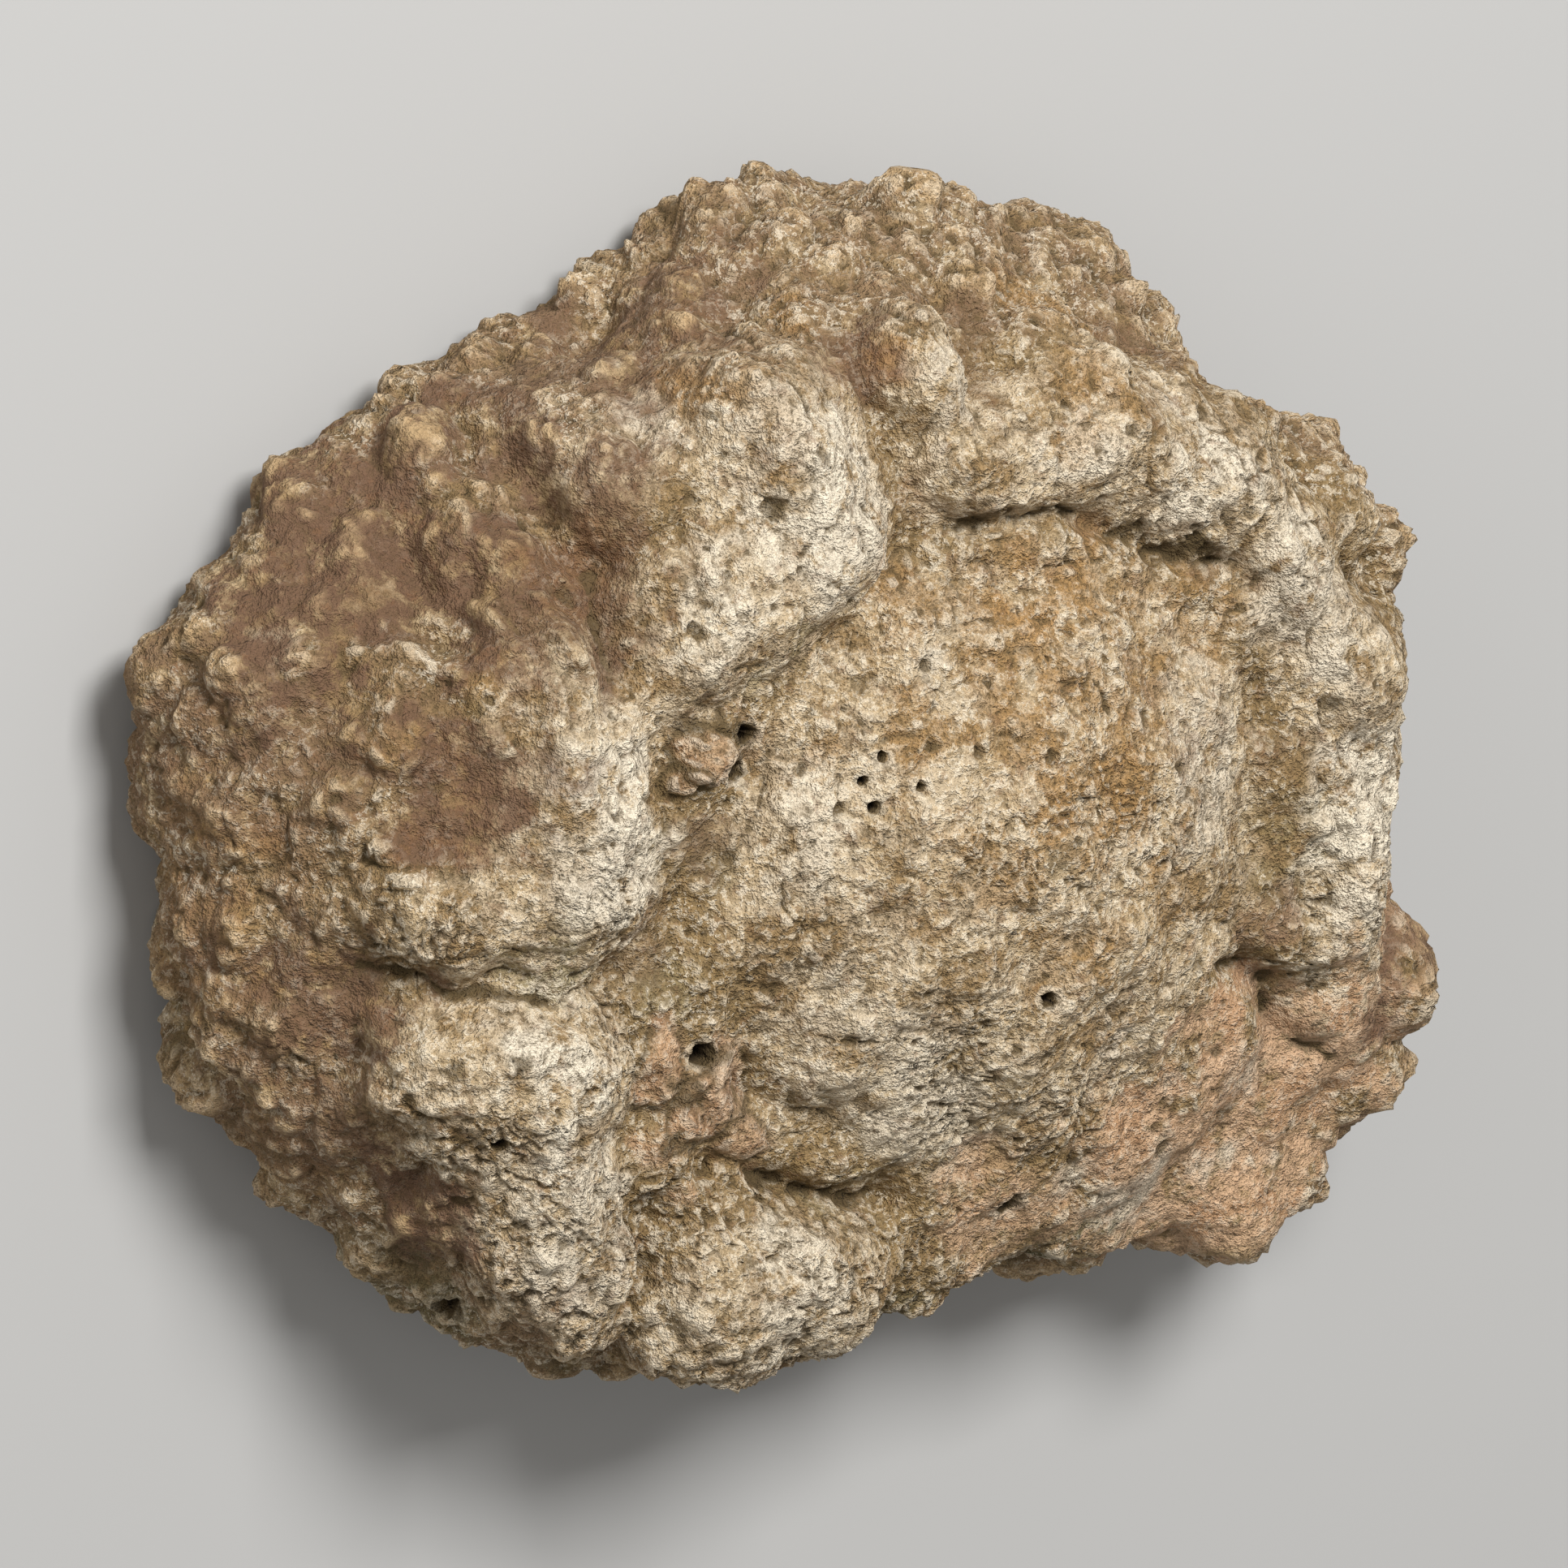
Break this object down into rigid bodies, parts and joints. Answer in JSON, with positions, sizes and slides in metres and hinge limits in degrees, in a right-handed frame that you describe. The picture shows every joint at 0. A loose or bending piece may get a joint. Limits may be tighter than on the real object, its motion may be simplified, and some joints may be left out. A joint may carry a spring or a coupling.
{
  "type": "fossil osteoderm",
  "caption": "Thick fossil armour plate with a domed central figure ringed by bosses, rough sutured edges and a flat underside, lying face up.",
  "frame": {"origin": "on the flat of the inner face that the plate rests on, under the middle of the domed central figure", "axes": "+Z out of the ornamented outer face, +X along the plate's long side towards the worn corner, +Y towards the sloping suture beside the north boss"},
  "size_m": [0.0547, 0.0449, 0.0181],
  "materials": {
    "fossil_bone": "matt, porous bone turned to stone, cream on the crests with ochre and brown stains and clay in the grooves"
  },
  "bodies": {
    "root": {"osteoderm": "fossil_bone"}
  },
  "joints": []
}
